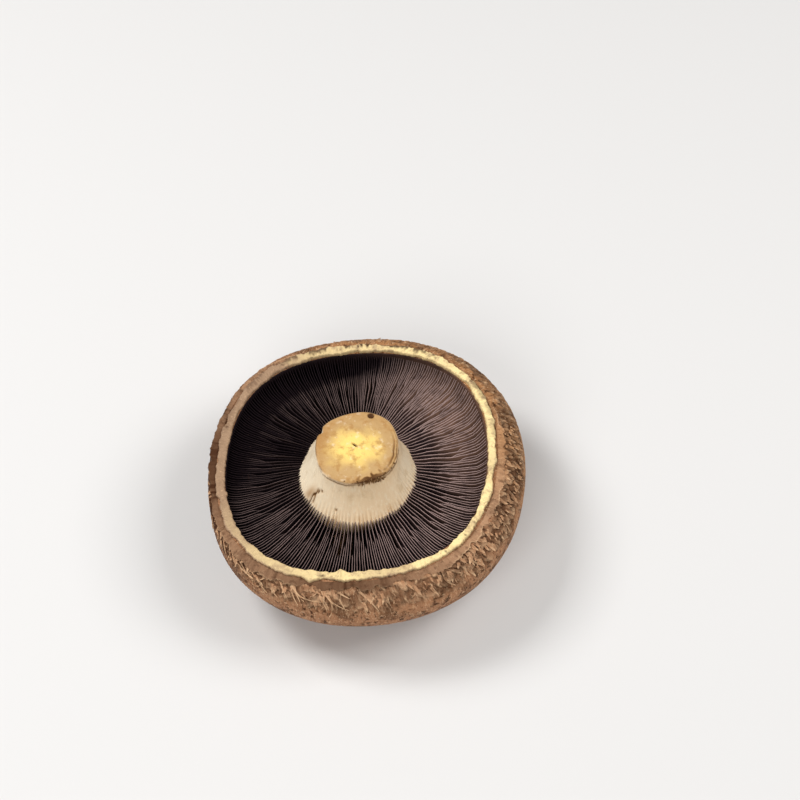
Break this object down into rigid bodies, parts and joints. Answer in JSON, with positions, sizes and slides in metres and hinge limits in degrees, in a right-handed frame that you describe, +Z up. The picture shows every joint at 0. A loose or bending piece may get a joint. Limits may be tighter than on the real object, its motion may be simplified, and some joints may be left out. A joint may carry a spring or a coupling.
{
  "type": "brown mushroom",
  "caption": "Large brown cultivated mushroom as picked, lying on its domed cap, with dark radial gills, a pale rolled rim and a short cut stem facing up.",
  "frame": {"origin": "centre of the flat spot on the crown of the cap that the mushroom lies on", "axes": "+Z up, along the stem and away from the surface; +X to the right and -Y towards the viewer as the picture shows it"},
  "size_m": [0.0916, 0.0956, 0.0393],
  "materials": {
    "cap_skin": "matt, fibrous brown skin with torn scales near the rim, pale cream flesh on the rim itself",
    "gill_tissue": "matt, thin dark purple-brown blades with slightly paler edges",
    "stem_flesh": "matt, cream flesh with fine upright fibres, yellow to ochre on the cut face"
  },
  "bodies": {
    "root": {"cap": "cap_skin", "gills": "gill_tissue", "stem": "stem_flesh"}
  },
  "joints": []
}
